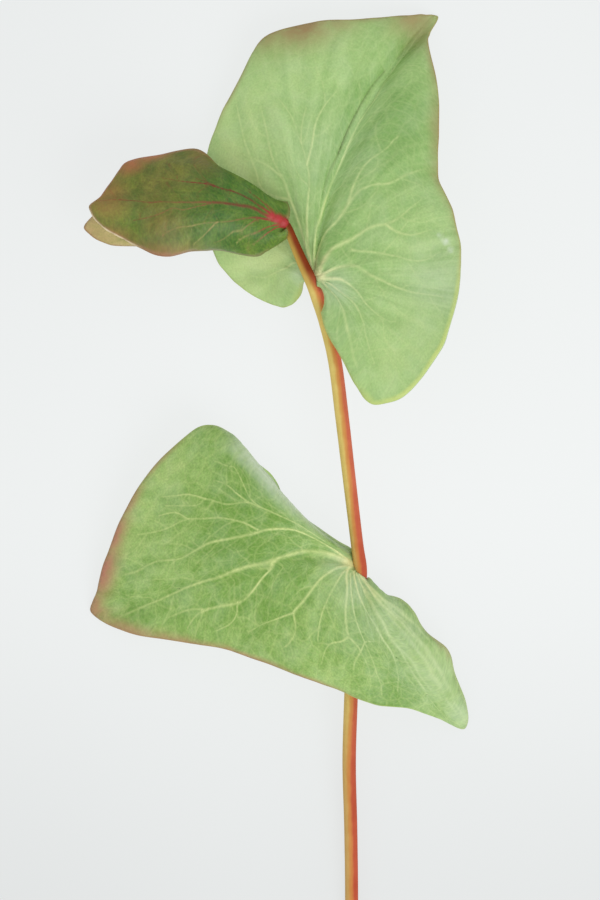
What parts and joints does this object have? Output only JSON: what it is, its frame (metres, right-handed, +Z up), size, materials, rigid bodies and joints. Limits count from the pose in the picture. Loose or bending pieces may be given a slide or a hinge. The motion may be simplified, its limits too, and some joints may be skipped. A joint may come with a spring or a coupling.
{
  "type": "cut foliage stem",
  "caption": "Cut stem of leathery, heart-shaped leaves that clasp it, lying on its side, with a young dark leaf at the tip.",
  "frame": {"origin": "middle of the bounding box's bottom, on the table", "axes": "+Y along the stem from its cut end to the tip, +X across it towards the upper leaf's front lobe, +Z up from the table it lies on"},
  "size_m": [0.096, 0.2418, 0.0258],
  "materials": {
    "stem_skin": "smooth bark, yellow-olive on one side and red on the other",
    "grown_leaf": "leathery, satin, paler veins, reddish margin",
    "young_leaf": "leathery, satin, dark, red veins",
    "youngest_leaf": "thin, satin, olive-tan"
  },
  "bodies": {
    "root": {"stem": "stem_skin", "leaf_lower": "grown_leaf", "leaf_upper": "grown_leaf", "leaf_top": "young_leaf", "leaf_youngest": "youngest_leaf"}
  },
  "joints": []
}
